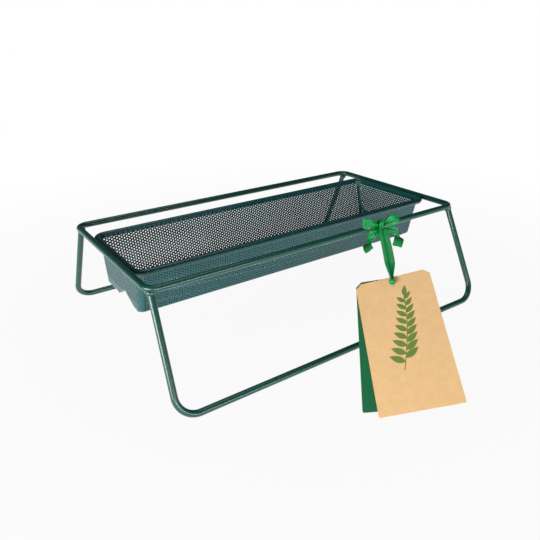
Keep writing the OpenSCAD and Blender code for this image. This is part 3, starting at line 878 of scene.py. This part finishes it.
class FEEDER_OT_cards(bpy.types.Operator):
    """Finishes the cards, with a generic leaf sprig on the front one, and ties them"""
    bl_idname = "feeder.cards"
    bl_label = "Swing cards"

    def execute(self, context):
        self.sprig()
        self.tie()
        return {"FINISHED"}

    def sprig(self):
        """A plain sprig of leaves, as thin ink on the front card."""
        hole, across, up, out = card_axes()
        lift, ink = 0.03 * MM, 0.04 * MM
        # The stem's foot, how far it rises and leans, and how far it bows on the way
        foot_x, foot_y, rise, lean, bow = -6 * MM, -86 * MM, 70 * MM, 9 * MM, 5 * MM
        half_stem = 0.35 * MM
        # Lengths of the lowest and highest leaves, their angles from the stem, and width as a share of length
        longest, shortest, spread_low, spread_high, slim = 15 * MM, 9 * MM, 1.05, 0.7, 0.42
        joints, leaf_steps = 20, 10
        work = bmesh.new()

        def patch(points):
            """One face of ink through points given across and up from the hole."""
            work.faces.new([work.verts.new(hole + across * p.x + up * p.y + out * lift) for p in points])

        def leaf(base, angle, length, width):
            """One pointed leaf, widest a little below its middle."""
            along = Vector((math.sin(angle), math.cos(angle)))
            side = Vector((along.y, -along.x))
            ring = []
            for k in range(2 * leaf_steps):
                t = min(k, 2 * leaf_steps - k) / leaf_steps
                half = width / 2 * math.sin(math.pi * t ** 0.8) * (1 if k <= leaf_steps else -1)
                ring.append(base + along * (length * t) + side * half)
            patch(ring)

        stem = []
        for k in range(joints + 1):
            t = k / joints
            stem.append(Vector((foot_x + lean * t + bow * math.sin(2.2 * t), foot_y + rise * t)))
        for a, b in zip(stem, stem[1:]):
            n = Vector((-(b - a).y, (b - a).x)).normalized() * half_stem
            patch((a - n, b - n, b + n, a + n))
        # Leaves stand on alternate sides, and one ends the stem
        for k in range(2, joints):
            t = k / joints
            length = longest - (longest - shortest) * t
            side = 1 if k % 2 else -1
            leaf(stem[k], side * (spread_low - (spread_low - spread_high) * t), length, length * slim)
        leaf(stem[joints], 0.25, 11 * MM, 4.4 * MM)
        bmesh.ops.triangulate(work, faces=work.faces)
        bmesh.ops.recalc_face_normals(work, faces=work.faces)
        piece = new_object("leaf_print", mesh_from(work, "leaf_print"), "kraft_board", "ink")
        solid = piece.modifiers.new("ink", "SOLIDIFY")
        solid.thickness = ink
        solid.offset = 0
        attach(piece, "front_card")

    def tie(self):
        """The small knot in front of the hole, the neck through it and the knot behind."""
        hole, across, up, out = card_axes()
        work = bmesh.new()
        sides, flat = 40, 0.92
        # The drawn-in ribbon has creases on both knots and none on the neck
        creases, crease_depth, crease_turn, neck_radius = 3, 0.1, 0.9, 1.5
        # Height over the card's face and radius, in millimetres, from behind the cards to the front
        profile = [
            (-3.3, 0.1), (-3.2, 1.6), (-2.9, 2.4), (-2.5, 2.7), (-2.25, 2.3), (-2.1, 1.4), (-1.0, 1.35),
            (0.2, 1.4), (0.35, 2.2), (0.9, 2.75), (1.7, 3.0), (2.6, 3.0), (3.5, 2.7), (4.3, 2.1),
            (4.9, 1.2), (5.1, 0.1)]
        rings = []
        for height, radius in profile:
            ring = []
            depth = crease_depth if radius > neck_radius else 0.0
            for k in range(sides):
                a = 2 * math.pi * k / sides
                crease = 1 + depth * math.sin(creases * a + crease_turn * height)
                way = across * math.cos(a) + up * math.sin(a) * flat
                ring.append(work.verts.new(hole + out * height * MM + way * radius * crease * MM))
            rings.append(ring)
        for a, b in zip(rings, rings[1:]):
            for k in range(sides):
                n = (k + 1) % sides
                work.faces.new((a[k], a[n], b[n], b[k]))
        work.faces.new(list(reversed(rings[0])))
        work.faces.new(rings[-1])
        bmesh.ops.recalc_face_normals(work, faces=work.faces)
        cloth = work.loops.layers.uv.new("cloth")
        for face in work.faces:
            for loop in face.loops:
                p = (loop.vert.co - hole) / MM
                loop[cloth].uv = (p.dot(out) * 2, p.dot(across) + p.dot(up))
        mesh = mesh_from(work, "ribbon_tie")
        smooth(mesh, 60)
        piece = new_object("ribbon_tie", mesh, "satin_ribbon")
        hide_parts("card_tie")
        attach(piece, "ribbon")


# Metal and stage

class FEEDER_OT_metal(bpy.types.Operator):
    """Coats the wire frame, its welds and the rim wire"""
    bl_idname = "feeder.metal"
    bl_label = "Powder-coated wire"

    def execute(self, context):
        for row in frame["record"]["subparts"]:
            if row["material_slot"] in finishes():
                node = frame["nodes"][row["node"]]
                node.data.materials.clear()
                node.data.materials.append(finishes()[row["material_slot"]])
        return {"FINISHED"}


class FEEDER_OT_stage(bpy.types.Operator):
    """Sets up the camera, the floor, the lamps and the world"""
    bl_idname = "feeder.stage"
    bl_label = "Stage"

    def execute(self, context):
        self.camera(context.scene)
        self.floor()
        self.world(context.scene)
        # Name, place, size in metres, power in watts, and the point that the lamp faces
        for name, place, size, power, aim in (
                ("front_lamp", (-0.1, -1.15, 0.1), (1.3, 0.2), 8.0, (0.0, 0.0, 0.06)),
                ("left_lamp", (-1.15, -0.25, 0.16), (0.9, 0.3), 13.0, (-0.1, 0.0, 0.07)),
                ("top_lamp", (0.15, 0.1, 1.3), (0.8, 0.8), 3.2, (0.0, 0.0, 0.06))):
            self.lamp(name, Vector(place), size, power, Vector(aim))
        context.scene.view_settings.view_transform = "Standard"
        return {"FINISHED"}

    def camera(self, scene):
        """The camera, from its settings."""
        settings = scene.feeder_camera
        a, e, r = settings.azimuth, settings.elevation, settings.roll
        forward = Vector((-math.sin(a) * math.cos(e), math.cos(a) * math.cos(e), -math.sin(e)))
        level = Vector((math.cos(a), math.sin(a), 0))
        upright = level.cross(forward)
        right = level * math.cos(r) + upright * math.sin(r)
        up = right.cross(forward)
        data = bpy.data.cameras.new("camera")
        data.sensor_width = 36
        data.lens = settings.lens
        data.clip_start = 10 * MM
        made = bpy.data.objects.new("camera", data)
        turn = Matrix((right, up, -forward)).transposed().to_4x4()
        place = Vector(settings.target) - forward * settings.distance
        made.matrix_world = Matrix.Translation(place) @ turn
        scene.collection.objects.link(made)
        scene.camera = made

    def floor(self):
        """A pale floor that is seen nearly white and lights the feeder as grey paper does."""
        half_side = 4.0
        made, tree = new_material("pale_floor")
        ray = add(tree, "ShaderNodeLightPath").outputs
        direct = add(tree, "ShaderNodeMath", {
            0: ray["Is Camera Ray"], 1: ray["Is Glossy Ray"]}, operation="MAXIMUM")
        seen = add(tree, "ShaderNodeMath", {
            0: direct.outputs[0], 1: ray["Is Transmission Ray"]}, operation="MAXIMUM")
        # Away from the feeder the floor goes over into the white background
        place = add(tree, "ShaderNodeTexCoord")
        away = add(tree, "ShaderNodeVectorMath", {0: place.outputs["Object"]}, operation="LENGTH")
        white_share = spread(tree, away.outputs["Value"], (0.25, 0.7), (0.93, 1.0))
        share = add(tree, "ShaderNodeMath", {0: seen.outputs[0], 1: white_share}, operation="MULTIPLY")
        paper = add(tree, "ShaderNodeBsdfDiffuse", {"Color": (0.9, 0.9, 0.9, 1)})
        white = add(tree, "ShaderNodeEmission", {"Color": (1, 1, 1, 1), "Strength": 1.0})
        both = add(tree, "ShaderNodeMixShader", {
            0: share.outputs[0], 1: paper.outputs["BSDF"], 2: white.outputs["Emission"]})
        add(tree, "ShaderNodeOutputMaterial", {"Surface": both.outputs["Shader"]})
        work = bmesh.new()
        bmesh.ops.create_grid(work, x_segments=1, y_segments=1, size=half_side)
        mesh = mesh_from(work, "floor")
        mesh.materials.append(made)
        plane = bpy.data.objects.new("floor", mesh)
        bpy.context.scene.collection.objects.link(plane)

    def world(self, scene):
        """A white background, and a dim room that lights the feeder."""
        world = bpy.data.worlds.new("studio")
        scene.world = world
        world.use_nodes = True
        tree = world.node_tree
        tree.nodes.clear()
        ray = add(tree, "ShaderNodeLightPath").outputs
        seen = add(tree, "ShaderNodeMath", {0: ray["Is Camera Ray"], 1: ray["Is Transmission Ray"]},
                   operation="MAXIMUM")
        # The room is lighter near the horizon than overhead
        place = add(tree, "ShaderNodeTexCoord")
        height = add(tree, "ShaderNodeSeparateXYZ", {"Vector": place.outputs["Generated"]})
        level = spread(tree, height.outputs["Z"], (0.05, 0.55), (0.14, 0.02))
        light = add(tree, "ShaderNodeBackground", {"Color": (0.95, 0.98, 1.0, 1), "Strength": level})
        white = add(tree, "ShaderNodeBackground", {"Color": (1, 1, 1, 1), "Strength": 1.0})
        both = add(tree, "ShaderNodeMixShader", {
            0: seen.outputs[0], 1: light.outputs["Background"], 2: white.outputs["Background"]})
        add(tree, "ShaderNodeOutputWorld", {"Surface": both.outputs["Shader"]})

    def lamp(self, name, place, size, power, aim):
        """One rectangular soft lamp that faces a point."""
        data = bpy.data.lights.new(name, "AREA")
        data.shape = "RECTANGLE"
        data.size, data.size_y = size
        data.energy = power
        made = bpy.data.objects.new(name, data)
        turn = (aim - place).to_track_quat("-Z", "Y").to_matrix().to_4x4()
        made.matrix_world = Matrix.Translation(place) @ turn
        bpy.context.scene.collection.objects.link(made)


class FEEDER_PT_panel(bpy.types.Panel):
    """Lists the feeder's steps and settings"""
    bl_idname = "FEEDER_PT_panel"
    bl_label = "Ground bird feeder"
    bl_space_type = "VIEW_3D"
    bl_region_type = "UI"
    bl_category = "Bird feeder"

    def draw(self, context):
        for operator in OPERATORS:
            self.layout.operator(operator.bl_idname)
        for group in GROUPS:
            settings = getattr(context.scene, group)
            for name in settings.bl_rna.properties.keys():
                if name not in ("rna_type", "name"):
                    self.layout.prop(settings, name)


OPERATORS = (FEEDER_OT_metal, FEEDER_OT_tray, FEEDER_OT_bow, FEEDER_OT_cards, FEEDER_OT_stage)
GROUPS = {
    "feeder_tray": TraySettings, "feeder_ribbon": RibbonSettings,
    "feeder_paint": PaintSettings, "feeder_camera": CameraSettings,
}


def register():
    """Registers the classes and puts the settings on the scene."""
    for kind in (*GROUPS.values(), *OPERATORS, FEEDER_PT_panel):
        bpy.utils.register_class(kind)
    for name, kind in GROUPS.items():
        setattr(bpy.types.Scene, name, bpy.props.PointerProperty(type=kind))


def unregister():
    """Takes the settings off the scene and the classes out."""
    for name in GROUPS:
        delattr(bpy.types.Scene, name)
    for kind in reversed((*GROUPS.values(), *OPERATORS, FEEDER_PT_panel)):
        bpy.utils.unregister_class(kind)


def main():
    """Dresses the frame."""
    register()
    bpy.ops.feeder.metal()
    bpy.ops.feeder.tray()
    bpy.ops.feeder.bow()
    bpy.ops.feeder.cards()
    bpy.ops.feeder.stage()


if __name__ == "__main__":
    main()
